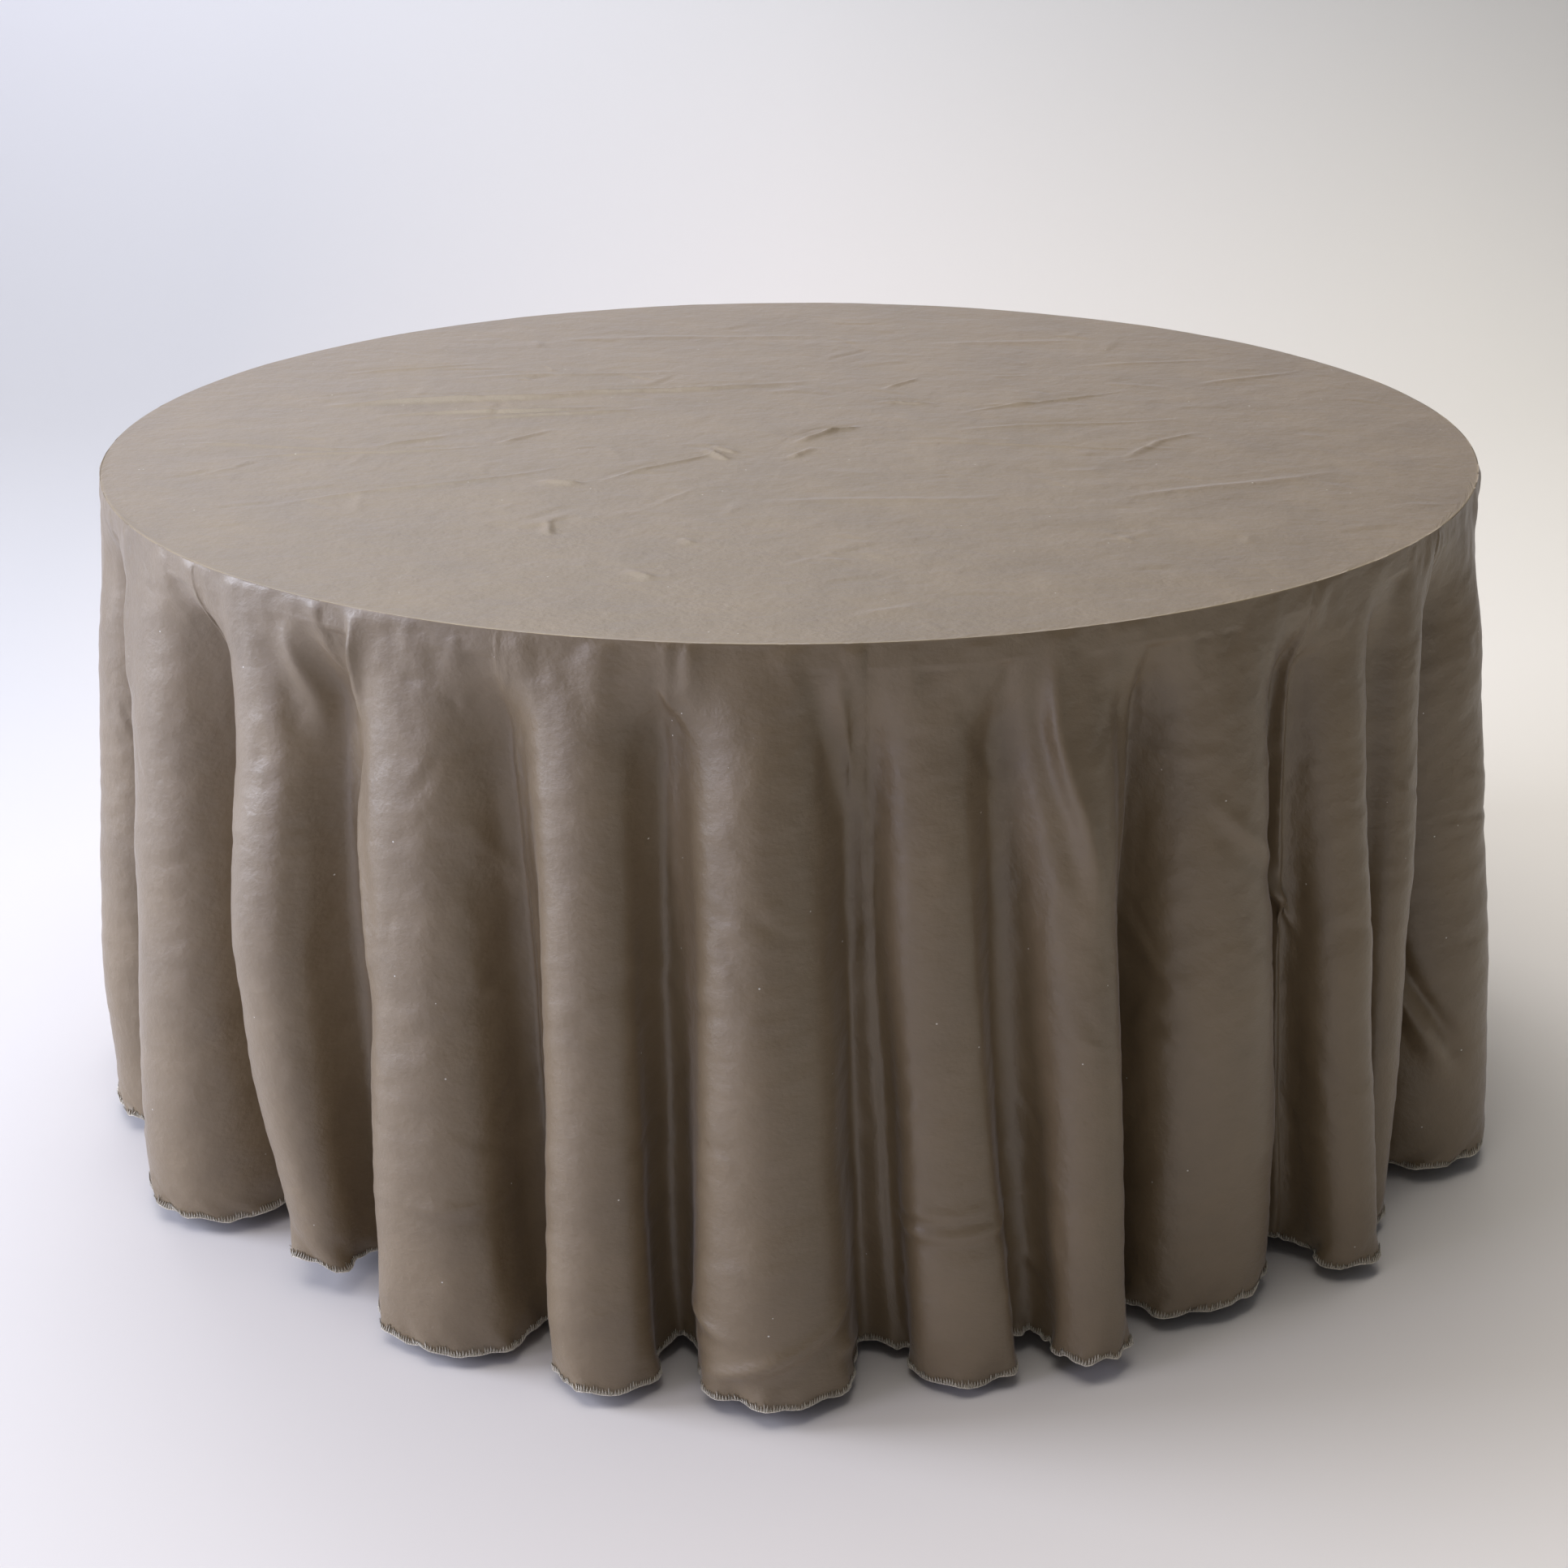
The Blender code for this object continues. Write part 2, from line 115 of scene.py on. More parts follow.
def addCamera():
    data = bpy.data.cameras.new("camera")
    data.lens = cameraView["lens"]
    data.sensor_width = cameraView["sensor"]
    data.clip_end = 60
    obj = bpy.data.objects.new("camera", data)
    bpy.context.scene.collection.objects.link(obj)
    pitch = math.radians(cameraView["pitch"])
    yaw = math.radians(cameraView["yaw"])
    forward = Vector((math.sin(yaw) * math.cos(pitch), math.cos(yaw) * math.cos(pitch), -math.sin(pitch)))
    turn = forward.to_track_quat("-Z", "Y").to_matrix().to_4x4()
    roll = Matrix.Rotation(math.radians(cameraView["roll"]), 4, "Z")
    obj.matrix_world = Matrix.Translation(cameraView["place"]) @ turn @ roll
    bpy.context.scene.camera = obj


# Tones go from left to right across the floor and the wall, as painted light and shade: the floor darker and
# bluish on the left and lighter and warmer on the right, the wall bluish on the left and painted darker
# towards the right.
stageLook = {
    "floor": [(0.40, (0.62, 0.62, 0.66)), (0.5, (0.84, 0.795, 0.785)), (0.62, (0.95, 0.90, 0.82))],
    "wall": [(0.34, (0.84, 0.84, 0.92)), (0.5, (0.78, 0.775, 0.785)), (0.66, (0.66, 0.64, 0.61))],
    "wallDistance": 6.2,
    "sweepRadius": 3.0,
    "halfWidth": 7.0,
    "wallHeight": 4.5,
    "front": -6.5,
    "wallFrom": 1.0,  # height at which the floor's tones have given way to the wall's
}


def addStage():
    s = stageLook
    rows = [(s["front"], 0.0)]
    bendStart = s["wallDistance"] - s["sweepRadius"]
    for i in range(17):
        a = i / 16 * math.pi / 2
        rows.append((bendStart + s["sweepRadius"] * math.sin(a), s["sweepRadius"] * (1 - math.cos(a))))
    rows.append((s["wallDistance"], s["wallHeight"]))
    verts = []
    for y, z in rows:
        verts += [(-s["halfWidth"], y, z), (s["halfWidth"], y, z)]
    faces = [(2 * i, 2 * i + 1, 2 * i + 3, 2 * i + 2) for i in range(len(rows) - 1)]
    obj = newMesh("studioSweep", verts, faces)
    m = Nodes("studioWithPaintedLight")
    where = m.add("TexCoord")
    apart = m.add("SeparateXYZ")
    m.link(where.outputs["Object"], apart.inputs[0])
    across = m.add("MapRange", From_Min=-s["halfWidth"], From_Max=s["halfWidth"])
    m.link(apart.outputs["X"], across.inputs["Value"])
    height = m.add("MapRange", From_Min=0.0, From_Max=s["wallFrom"])
    m.link(apart.outputs["Z"], height.inputs["Value"])
    # The floor and wall ramps carry painted light and shade from left to right
    low, high = (ramp(m, across.outputs["Result"], s[part]) for part in ("floor", "wall"))
    both = m.add("Mix", data_type="RGBA")
    m.link(height.outputs["Result"], both.inputs["Factor"])
    m.link(low.outputs["Color"], both.inputs[6])
    m.link(high.outputs["Color"], both.inputs[7])
    m.link(both.outputs[2], m.shader.inputs["Base Color"])
    m.set(Roughness=0.7, Specular_IOR_Level=0.2)
    obj.data.materials.append(m.mat)


studioLights = [
    # name, place, aim, size, watts, colour
    ("windowLeft", (-4.2, -0.2, 1.6), (0.1, -0.5, 0.35), (2.2, 2.2), 186, (0.79, 0.84, 1.0)),
    ("windowFront", (-3.6, -2.9, 1.4), (0.1, -0.4, 0.4), (1.2, 1.8), 44, (0.78, 0.78, 1.0)),
    ("ceiling", (-0.6, -0.1, 4.2), (0.0, -0.5, 0), (4.8, 4.0), 140, (1.0, 0.97, 0.91)),
    ("backWash", (-1.6, 3.8, 4.4), (-1.0, 4.4, 0), (6.0, 2.6), 122, (0.97, 0.98, 1.0)),
]

studioAir = {"colour": (0.93, 0.95, 1.0, 1), "strength": 0.14}


def addLights():
    for name, place, aim, size, watts, colour in studioLights:
        data = bpy.data.lights.new(name, "AREA")
        data.shape = "RECTANGLE"
        data.size, data.size_y = size
        data.energy = watts
        data.color = colour
        obj = bpy.data.objects.new(name, data)
        obj.location = place
        obj.rotation_euler = (Vector(aim) - Vector(place)).to_track_quat("-Z", "Y").to_euler()
        bpy.context.scene.collection.objects.link(obj)
    world = bpy.data.worlds.new("studioAir")
    world.use_nodes = True
    background = world.node_tree.nodes["Background"]
    background.inputs["Color"].default_value = studioAir["colour"]
    background.inputs["Strength"].default_value = studioAir["strength"]
    bpy.context.scene.world = world
    bpy.context.scene.view_settings.view_transform = "Standard"


cloth = {
    "radius": 1.524,  # of the flat cut
    "edge": 0.7635,  # where it turns down over the table
    "top": 0.7634,
    "around": 360,  # quads round the cloth before it is refined twice
    "down": 40,  # rows of quads in the skirt before it is refined twice
    "settle": 22,  # frames that the cloth hangs for
    "topRows": 190,  # rings of quads on the flat top once refined
    "flatTo": 0.752,  # the top lies flat out to here
    "softenAround": 4.0,  # quads over which the cloth run's small buckles are eased
    "softenDown": 2.2,
    "innerRings": [0.2, 0.4, 0.55, 0.64, 0.69, 0.72, 0.74, 0.752, 0.758],
    "edgeSteps": [0.0, 0.004, 0.008, 0.014, 0.022],  # closer rings where it turns down, from the edge on
    "skirtFrom": 0.034,  # the even rings start here
}

# Each fold of the skirt: the direction of its crest and of the valley before it, in degrees from the front
# towards +X, how far its crest stands out beyond the table at the hem, and its valley's drift down to there.
folds = [
    (-79.5, -87.0, 0.050, 0.0), (-58.0, -70.0, 0.048, 0.0), (-41.0, -50.0, 0.044, 0.4),
    (-27.3, -35.4, 0.047, 0.4), (-13.2, -20.8, 0.060, 2.0), (-1.2, -8.8, 0.086, -0.6),
    (10.6, 4.8, 0.018, 1.8), (20.6, 14.4, 0.064, 0.8), (33.4, 25.2, 0.060, 2.4),
    (47.6, 40.4, 0.050, 2.2), (53.6, 50.8, 0.026, 0.4), (71.0, 58.6, 0.068, 0.0),
    (84.5, 77.0, 0.064, 0.0), (99.0, 92.0, 0.058, 0.0), (115.0, 107.0, 0.066, 1.0),
    (130.0, 122.5, 0.056, 0.0), (146.0, 138.0, 0.066, -1.0), (161.0, 153.5, 0.060, 0.0),
    (177.0, 169.0, 0.076, 0.5), (192.0, 184.5, 0.070, 0.0), (208.0, 200.0, 0.062, -0.8),
    (223.0, 215.5, 0.066, 0.0), (238.0, 230.5, 0.058, 0.9), (252.0, 245.0, 0.064, 0.0),
    (265.5, 259.5, 0.062, 0.0),
]

foldShape = {
    "crestShare": 0.085,  # 0 makes crests and valleys alike, more makes broad crests and tight valleys
    "profile": 0.62,  # how early down the skirt the crests stand out
    "gather": 0.12,  # the folds are fully there this far below the edge
}

# A fold is a winding curve: its lean swings from one side to the other. The table says how much of its length
# the curve keeps from end to end, for each strength of winding.
windPlace = np.linspace(0, 1, 801)
windSwing = np.sin(2 * math.pi * (windPlace + foldShape["crestShare"] * np.sin(2 * math.pi * windPlace)))
windTable = np.linspace(0, 2.3, 700)  # the lean in radians where it swings furthest
keptTable = np.cos(np.outer(windTable, windSwing)).mean(axis=1)


def windRow(keep, ease, along):
    # place across and out along one fold, from valley to valley, for places by length run
    lean = float(np.interp(-keep, -keptTable, windTable)) * ease * windSwing
    x = np.concatenate([[0], np.cumsum((np.cos(lean[1:]) + np.cos(lean[:-1])) / 2)]) / 800
    y = np.concatenate([[0], np.cumsum((np.sin(lean[1:]) + np.sin(lean[:-1])) / 2)]) / 800
    return np.interp(along, windPlace, x / x[-1]), np.interp(along, windPlace, y) - y.max()


def hangRow(angles, s):
    # where the ring s below the edge hangs, seen from above
    edge = cloth["edge"]
    fall = cloth["radius"] - edge
    ordered = sorted(folds, key=lambda f: f[1])
    crests, starts, swells, drifts = (np.array(part) for part in zip(*ordered))
    ends = np.append(starts[1:], starts[0] + 360)
    a = (angles - starts[0]) % 360 + starts[0]
    index = np.clip(np.searchsorted(starts, a, side="right") - 1, 0, len(starts) - 1)
    allCrests, allSwells = np.append(crests, crests[0] + 360), np.append(swells, swells[0])
    swell = np.interp((a - crests[0]) % 360 + crests[0], allCrests, allSwells)
    low = starts + drifts * s / fall
    high = np.append(low[1:], low[0] + 360)
    ease = min(1.0, s / foldShape["gather"])
    ease = ease * ease * (3 - 2 * ease)
    r, where = np.empty(len(a)), np.empty(len(a))
    for fold in range(len(starts)):
        mine = index == fold
        pitch = ends[fold] - starts[fold]
        share = (a[mine] - starts[fold]) / pitch
        along = share ** (math.log(0.5) / math.log((crests[fold] - starts[fold]) / pitch))
        length = (edge + s) * math.radians(pitch)
        keep = min(1.0, edge * math.radians(high[fold] - low[fold]) / length)
        across, out = windRow(keep, ease, along)
        r[mine] = edge + 0.001 + swell[mine] * (s / fall) ** foldShape["profile"] + length * out
        where[mine] = np.radians(low[fold] + (high[fold] - low[fold]) * across)
    return r * np.sin(where), -r * np.cos(where)


def flatRing(r, turn):
    return np.stack([r * np.sin(turn), -r * np.cos(turn), np.full(len(turn), cloth["top"])], 1)


def hangRows():
    # rings of the flat cut and the places they hang at before the cloth settles
    n = cloth["around"]
    edge = cloth["edge"]
    angles = np.arange(n) * 360 / n - 90
    turn = np.radians(angles)
    skirtSteps = np.linspace(cloth["skirtFrom"], cloth["radius"] - edge, cloth["down"])
    steps = np.concatenate([cloth["edgeSteps"], skirtSteps])
    inner = cloth["innerRings"]
    radii = np.concatenate([inner, edge + steps])
    flat = [flatRing(r, turn) for r in radii]
    hung = flat[:len(inner)]
    last = None
    for s in steps:
        x, y = hangRow(angles, s)
        if last is None:
            z = np.full(n, cloth["top"])
        else:
            # what a ring's step doesn't spend going sideways, it spends going down
            step = s - last[3]
            side = (x - last[0]) ** 2 + (y - last[1]) ** 2
            z = last[2] - np.sqrt(np.maximum(step * step - side, (0.35 * step) ** 2))
        last = (x, y, z, s)
        hung.append(np.stack([x, y, z], 1))
    return radii, flat, hung, len(inner)


def clothMesh():
    radii, flat, hung, pinned = hangRows()
    n = cloth["around"]
    centre = np.array([[0, 0, cloth["top"]]])
    flatAll = np.concatenate([centre] + flat)
    hungAll = np.concatenate([centre] + hung)
    faces = [(0, 1 + (j + 1) % n, 1 + j)[::-1] for j in range(n)]
    for i in range(len(radii) - 1):
        a = 1 + i * n
        for j in range(n):
            k = (j + 1) % n
            faces.append((a + j, a + n + j, a + n + k, a + k))
    return radii, flatAll, hungAll, faces, pinned


hanging = {
    "quality": 7,
    "mass": 0.0022,  # of each point, in kg
    "stiffness": {"tension": 25, "compression": 25, "shear": 4, "bending": 0.06},
    "damping": {"tension": 8, "compression": 8, "shear": 6, "bending": 0.6},
    "air": 2,
    "gap": 0.0015,  # kept between the cloth and the board
    "boardRadius": 0.7615,
    "boardDepth": 0.0184,
    "boardMiddle": 0.7526,  # its height above the floor
}


def settle(flatAll, hungAll, faces, pinned):
    # lets the cloth hang from the table by its own weight, and gives back where it ends
    n = cloth["around"]
    obj = newMesh("clothHanging", flatAll, faces)
    obj.shape_key_add(name="flat")
    start = obj.shape_key_add(name="start")
    start.data.foreach_set("co", hungAll.astype(np.float32).ravel())
    start.value = 1
    group = obj.vertex_groups.new(name="held")
    group.add(list(range(1 + (pinned - 1) * n)), 1.0, "REPLACE")
    modifier = obj.modifiers.new("cloth", "CLOTH")
    s = modifier.settings
    s.quality = hanging["quality"]
    s.mass = hanging["mass"]
    for kind in hanging["stiffness"]:
        setattr(s, kind + "_stiffness", hanging["stiffness"][kind])
        setattr(s, kind + "_damping", hanging["damping"][kind])
    s.air_damping = hanging["air"]
    s.vertex_group_mass = "held"
    s.rest_shape_key = obj.data.shape_keys.key_blocks["flat"]
    modifier.collision_settings.use_collision = True
    modifier.collision_settings.distance_min = hanging["gap"]
    bpy.ops.mesh.primitive_cylinder_add(
        vertices=256,
        radius=hanging["boardRadius"],
        depth=hanging["boardDepth"],
        location=(0, 0, hanging["boardMiddle"]),
    )
    board = bpy.context.object
    board.modifiers.new("board", "COLLISION")
    board.collision.thickness_outer = 0.001
    scene = bpy.context.scene
    scene.frame_start = modifier.point_cache.frame_start = 1
    scene.frame_end = modifier.point_cache.frame_end = cloth["settle"] + 1
    for f in range(1, cloth["settle"] + 1):
        scene.frame_set(f)
    graph = bpy.context.evaluated_depsgraph_get()
    result = np.empty(len(flatAll) * 3, np.float32)
    obj.evaluated_get(graph).data.vertices.foreach_get("co", result)
    scene.frame_set(1)
    bpy.data.objects.remove(obj, do_unlink=True)
    bpy.data.objects.remove(board, do_unlink=True)
    return result.reshape(-1, 3).astype(float)


def softened(moved, rows):
    # the cloth run's movement without its smallest buckles
    n = cloth["around"]
    grid = moved[1:].reshape(rows, n, 3)
    waveNumber = np.fft.rfftfreq(n) * 2 * math.pi
    keep = np.exp(-0.5 * (waveNumber * cloth["softenAround"]) ** 2)[None, :, None]
    grid = np.fft.irfft(np.fft.rfft(grid, axis=1) * keep, n, axis=1)
    reach = int(3 * cloth["softenDown"]) + 1
    taps = np.exp(-0.5 * (np.arange(-reach, reach + 1) / cloth["softenDown"]) ** 2)
    taps /= taps.sum()
    padded = np.concatenate([grid[:1]] * reach + [grid] + [grid[-1:]] * reach)
    out = sum(t * padded[i:i + rows] for i, t in enumerate(taps))
    return np.concatenate([moved[:1], out.reshape(-1, 3)])


def finer(grid, closed):
    # twice as many points down the first way of a grid, on smooth curves through them
    if closed:
        before, after, last = np.roll(grid, 1, 0), np.roll(grid, -1, 0), np.roll(grid, -2, 0)
        middle = (9 * (grid + after) - before - last) / 16
        out = np.empty((2 * len(grid),) + grid.shape[1:])
        out[0::2], out[1::2] = grid, middle
        return out
    padded = np.concatenate([2 * grid[:1] - grid[1:2], grid, 2 * grid[-1:] - grid[-2:-1]])
    middle = (9 * (padded[1:-2] + padded[2:-1]) - padded[:-3] - padded[3:]) / 16
    out = np.empty((2 * len(grid) - 1,) + grid.shape[1:])
    out[0::2], out[1::2] = grid, middle
    return out


def normalsOf(grid):
    down = np.gradient(grid, axis=0)
    around = (np.roll(grid, -1, 1) - np.roll(grid, 1, 1)) / 2
    normal = np.cross(around, down)
    length = np.linalg.norm(normal, axis=2, keepdims=True)
    return -normal / np.maximum(length, 1e-12)


# Creases left by folding, packing and handling. Each runs from one place to another, with its height and
# width in metres. On the top the places are x and y. Two close together make a long pinched fold.
topCreases = [
    (-0.575, 0.150, -0.200, 0.232, 0.0056, 0.0084), (-0.460, 0.168, 0.060, 0.292, 0.0041, 0.0061),
    (-0.500, 0.100, -0.205, 0.158, 0.0037, 0.0061), (-0.405, 0.078, -0.150, 0.150, 0.0030, 0.0053),
    (-0.330, 0.205, -0.010, 0.285, 0.0030, 0.0046), (-0.560, 0.325, -0.380, 0.395, 0.0019, 0.0046),
    (-0.420, 0.300, -0.120, 0.345, 0.0019, 0.0068), (-0.690, -0.020, -0.470, -0.045, 0.0022, 0.0046),
    (-0.470, -0.045, -0.385, 0.020, 0.0026, 0.0046), (-0.640, -0.095, -0.330, -0.035, 0.0019, 0.0046),
    (-0.330, -0.035, -0.270, 0.045, 0.0022, 0.0046), (-0.560, -0.300, -0.230, -0.120, 0.0018, 0.0053),
    (-0.272, -0.190, -0.215, -0.205, 0.0041, 0.0077), (-0.205, -0.200, -0.060, -0.045, 0.0020, 0.0046),
    (-0.100, -0.050, -0.060, -0.110, 0.0037, 0.0053), (-0.088, -0.040, -0.052, -0.075, 0.0034, 0.0046),
    (0.005, -0.035, 0.060, 0.045, 0.0034, 0.0053), (0.022, 0.010, 0.085, 0.048, 0.0026, 0.0046),
    (0.000, -0.100, 0.030, -0.045, 0.0022, 0.0046), (0.100, 0.170, 0.180, 0.160, 0.0026, 0.0046),
    (0.115, 0.230, 0.160, 0.300, 0.0020, 0.0046), (0.190, 0.100, 0.420, 0.235, 0.0019, 0.0046),
    (0.230, 0.150, 0.300, 0.160, 0.0019, 0.0046), (0.170, 0.020, 0.480, 0.085, 0.0015, 0.0053),
    (0.090, -0.030, 0.460, -0.060, 0.0015, 0.0046), (0.370, -0.110, 0.420, -0.020, 0.0026, 0.0053),
    (0.400, -0.050, 0.470, 0.020, 0.0020, 0.0046), (-0.060, -0.290, 0.260, -0.260, 0.0015, 0.0092),
    (0.300, -0.300, 0.620, -0.150, 0.0015, 0.0092), (-0.250, -0.345, -0.238, -0.410, 0.0030, 0.0053),
    (-0.160, -0.530, -0.125, -0.560, 0.0030, 0.0068), (-0.110, -0.420, -0.092, -0.440, 0.0022, 0.0061),
    (0.480, 0.240, 0.640, 0.330, 0.0015, 0.0068), (0.150, 0.480, 0.420, 0.520, 0.0013, 0.0092),
    (-0.300, 0.520, 0.100, 0.560, 0.0013, 0.0092), (0.350, 0.350, 0.560, 0.400, 0.0013, 0.0061),
]

# On the skirt the places are the direction in degrees from the front and the distance down from the edge.
skirtCreases = [
    (-31.0, 0.003, -32.2, 0.140, 0.0102, 0.0072), (-32.2, 0.140, -30.6, 0.420, 0.0068, 0.0080),
    (3.7, 0.002, 4.0, 0.200, 0.0085, 0.0080), (19.2, 0.002, 20.6, 0.330, 0.0093, 0.0080),
    (-60.3, 0.060, -60.0, 0.200, 0.0068, 0.0080), (-38.0, 0.020, -37.0, 0.180, 0.0068, 0.0096),
    (37.0, 0.230, 42.5, 0.400, 0.0068, 0.0072), (38.5, 0.300, 44.0, 0.395, 0.0059, 0.0064),
    (31.0, 0.170, 38.5, 0.330, 0.0034, 0.0072), (65.0, 0.420, 69.5, 0.660, -0.0140, 0.0060),
    (64.3, 0.410, 68.6, 0.660, 0.0060, 0.0060), (-5.0, 0.750, 3.6, 0.655, 0.0060, 0.0065),
    (-6.0, 0.660, -1.5, 0.700, 0.0034, 0.0072), (1.0, 0.700, 4.0, 0.755, 0.0034, 0.0056),
    (5.0, 0.590, 17.0, 0.610, 0.0027, 0.0056), (7.0, 0.575, 13.0, 0.580, 0.0024, 0.0048),
    (-29.0, 0.600, -22.0, 0.598, 0.0027, 0.0064), (-24.0, 0.180, -21.0, 0.300, 0.0020, 0.0112),
    (-47.0, 0.330, -45.0, 0.365, 0.0058, 0.0072), (-44.5, 0.180, -42.0, 0.300, 0.0024, 0.0096),
    (13.0, 0.640, 17.0, 0.700, 0.0024, 0.0072),
    (-12.0, 0.300, -7.0, 0.380, 0.0017, 0.0096), (25.0, 0.300, 32.0, 0.420, 0.0020, 0.0096),
]

smallCreases = {
    "top": 150,  # how many
    "skirt": 520,
    "height": (0.0004, 0.0014),
    "topHeightShare": 0.8,
    "width": (0.0035, 0.0085),
    "length": (0.02, 0.10),
}


def creaseHeights(u, v, creases):
    # height at places u, v in metres: each crease is a narrow ridge with a soft dip beside it
    total = np.zeros_like(u)
    for u0, v0, u1, v1, height, width in creases:
        du, dv = u1 - u0, v1 - v0
        length = math.hypot(du, dv)
        margin = 5 * width
        near = (u > min(u0, u1) - margin) & (u < max(u0, u1) + margin)
        near &= (v > min(v0, v1) - margin) & (v < max(v0, v1) + margin)
        pu, pv = u[near] - u0, v[near] - v0
        along = (pu * du + pv * dv) / length
        bow = 0.02 * length * np.sin(math.pi * np.clip(along / length, 0, 1) * 2)
        off = (-pu * dv + pv * du) / length - bow
        ends = np.clip(np.minimum(along, length - along) / (0.35 * length), 0, 1)
        ends = ends * ends * (3 - 2 * ends)
        ridge = np.exp(-(np.abs(off) / width) ** 1.6)
        dip = 0.55 * np.exp(-((off - 1.9 * width) / (1.5 * width)) ** 2)
        total[near] += height * ends * (ridge - dip)
    return total


def scatteredCreases(seed, count, uRange, vRange, lie, spread):
    # small handling creases at places of their own
    rng = np.random.default_rng(seed)
    out = []
    for _ in range(count):
        u, v = rng.uniform(*uRange), rng.uniform(*vRange)
        turn = lie + rng.normal(0, spread) + (math.pi / 2 if rng.random() < 0.2 else 0)
        length = rng.uniform(*smallCreases["length"])
        height = rng.choice([-1, 1]) * rng.uniform(*smallCreases["height"])
        width = rng.uniform(*smallCreases["width"])
        out.append((u, v, u + length * math.cos(turn), v + length * math.sin(turn), height, width))
    return out


# Soft ripples: height, seed, how many waves, the shortest and longest of them, the way they run and how far
# they stray from it.
ripples = {
    "topSoft": (0.00028, 4, 40, 0.05, 0.22, math.pi / 2, 0.9),
    "topFine": (0.00009, 9, 50, 0.014, 0.05, 0, math.pi),
    "skirtSoft": (0.0015, 21, 40, 0.08, 0.30, 0.7, 0.7),
    "skirtFine": (0.00036, 33, 60, 0.018, 0.06, 0.5, 1.0),
    "gathers": (0.0016, 45, 36, 0.022, 0.09, 0, 0.25),  # the puckers just under the edge
    "hemOut": (0.0036, 57, 30, 0.022, 0.09, 0, 0.01),
    "hemUp": (0.0015, 61, 30, 0.016, 0.06, 0, 0.01),
}


def rippled(u, v, name):
    # a few dozen crossing waves, added up
    height, seed, count, shortest, longest, lie, stray = ripples[name]
    rng = np.random.default_rng(seed)
    total = np.zeros_like(u)
    for _ in range(count):
        size = math.exp(rng.uniform(math.log(shortest), math.log(longest)))
        turn = lie + rng.uniform(-stray, stray)
        phase = rng.uniform(0, 2 * math.pi)
        across = u * math.cos(turn) + v * math.sin(turn)
        total += np.sin(2 * math.pi * across / size + phase) * (size / longest) ** 0.6
    return height * total / math.sqrt(count / 2)


def refined(radii, settled):
    # the settled cloth as one fine grid, ring by ring from the middle out, with its places on the flat cut
    n = cloth["around"]
    grid = settled[1:].reshape(len(radii), n, 3)
    first = int(np.searchsorted(radii, cloth["flatTo"] - 1e-9))
    skirt, skirtRadii = grid[first:], radii[first:, None].astype(float)
    for _ in range(2):
        skirt, skirtRadii = finer(skirt, False), finer(skirtRadii, False)
        skirt = np.swapaxes(finer(np.swapaxes(skirt, 0, 1), True), 0, 1)
        n *= 2
    turn = np.radians(np.arange(n) * 360 / n - 90)
    topRadii = np.linspace(0, radii[first], cloth["topRows"])[1:-1]
    ring = np.stack([np.sin(turn), -np.cos(turn), np.zeros(n)], 1)
    top = topRadii[:, None, None] * ring[None]
    top[:, :, 2] = cloth["top"]
    # smooth curves overshoot at the turn over the edge
    skirt[:, :, 2] = np.minimum(skirt[:, :, 2], cloth["top"])
    allRadii = np.concatenate([topRadii, skirtRadii[:, 0]])
    return allRadii, turn, np.concatenate([top, skirt]), allRadii[:, None, None] * ring[None]


relief = {
    "topRange": 0.7,  # the small creases of the top lie within this square
    "flatRim": 0.008,  # the top is smooth this near the edge
    "rimEase": 0.05,
    "topDip": 0.0004,  # the most that the top sinks, as the board is under it
    "gatherPeak": 0.022,  # where the puckers are strongest, below the edge
    "skirtEase": 0.010,
    "hemReach": 0.05,  # how far up the restless hem goes
    "hemFloor": 0.0045,  # the cloth hangs no lower than this
    "rimGap": 0.0006,
    "rimBottom": 0.738,  # height of the rim's lower edge
}


def topRelief(x, y, r):
    reach = (-relief["topRange"], relief["topRange"])
    height = creaseHeights(x, y, topCreases)
    small = scatteredCreases(3, smallCreases["top"], reach, reach, 0.1, 0.6)
    height += smallCreases["topHeightShare"] * creaseHeights(x, y, small)
    height += rippled(x, y, "topSoft") + rippled(x, y, "topFine")
    inside = np.clip((cloth["edge"] - relief["flatRim"] - r) / relief["rimEase"], 0, 1)
    return np.maximum(height, -relief["topDip"]) * inside


def skirtRelief(along, r, hemward):
    edge = cloth["edge"]
    down = np.maximum(r - edge, 0)
    creases = []
    for fromAngle, fromDown, toAngle, toDown, height, width in skirtCreases:
        start, end = math.radians(fromAngle) * edge, math.radians(toAngle) * edge
        creases.append((start, fromDown, end, toDown, height, width))
    allRound = (-math.pi * edge / 2, 1.5 * math.pi * edge)
    creases += scatteredCreases(8, smallCreases["skirt"], allRound, (0.02, 0.70), math.pi / 2, 0.5)
    height = creaseHeights(along, down, creases)
    height += rippled(along, down, "skirtSoft") + rippled(along, down, "skirtFine")
    near = down / relief["gatherPeak"]
    height += rippled(along, 0.25 * down, "gathers") * near * np.exp(1 - near)
    height += hemward * rippled(along * r / edge, 0 * down, "hemOut")
    return height * np.clip(down / relief["skirtEase"], 0, 1)


def outsideRim(places, r):
    # the cloth stays outside the rim of the table
    out = np.hypot(places[:, :, 0], places[:, :, 1])
    below = np.minimum(places[:, :, 2] - relief["rimBottom"], 0)
    least = cloth["edge"] + relief["rimGap"] + 1.2 * below
    pushed = np.where(r > cloth["edge"], np.maximum(out, least), out)
    places[:, :, :2] *= (pushed / np.maximum(out, 1e-6))[:, :, None]


